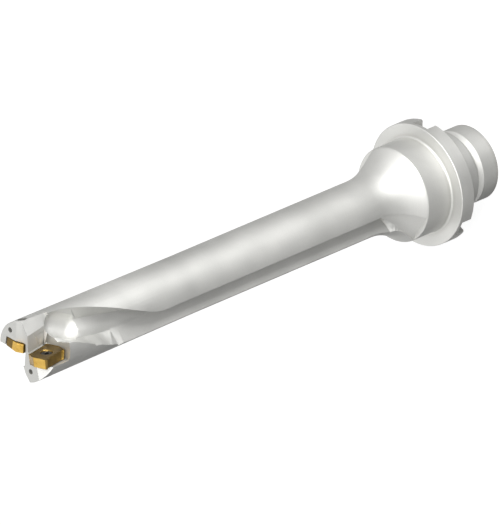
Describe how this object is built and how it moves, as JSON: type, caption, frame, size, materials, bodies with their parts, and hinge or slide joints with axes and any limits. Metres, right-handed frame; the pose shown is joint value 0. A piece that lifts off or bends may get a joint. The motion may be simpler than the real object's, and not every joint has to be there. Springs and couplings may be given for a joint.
{
  "type": "indexable drill",
  "caption": "Long right-hand drill with two screwed-in cutting inserts, flutes that turn only near the tip, a flared neck and a round flanged spigot coupling with a grooved collar",
  "frame": {"origin": "middle of the spigot's end face, on the drill's axis", "axes": "+Z runs along the drill's axis towards the cutting tip; +X and +Y are square to it, with the peripheral insert's cutting edge at azimuth 240 degrees from +X towards +Y"},
  "size_m": [0.05, 0.05, 0.2451],
  "materials": {
    "body_steel": "satin nickel-plated steel",
    "insert_coating": "gold-brown vapour coating on cemented carbide",
    "screw_steel": "black oxide"
  },
  "bodies": {
    "root": {"drill_body": "body_steel", "central_insert": "insert_coating", "peripheral_insert": "insert_coating", "central_insert_screw": "screw_steel", "peripheral_insert_screw": "screw_steel"}
  },
  "joints": []
}
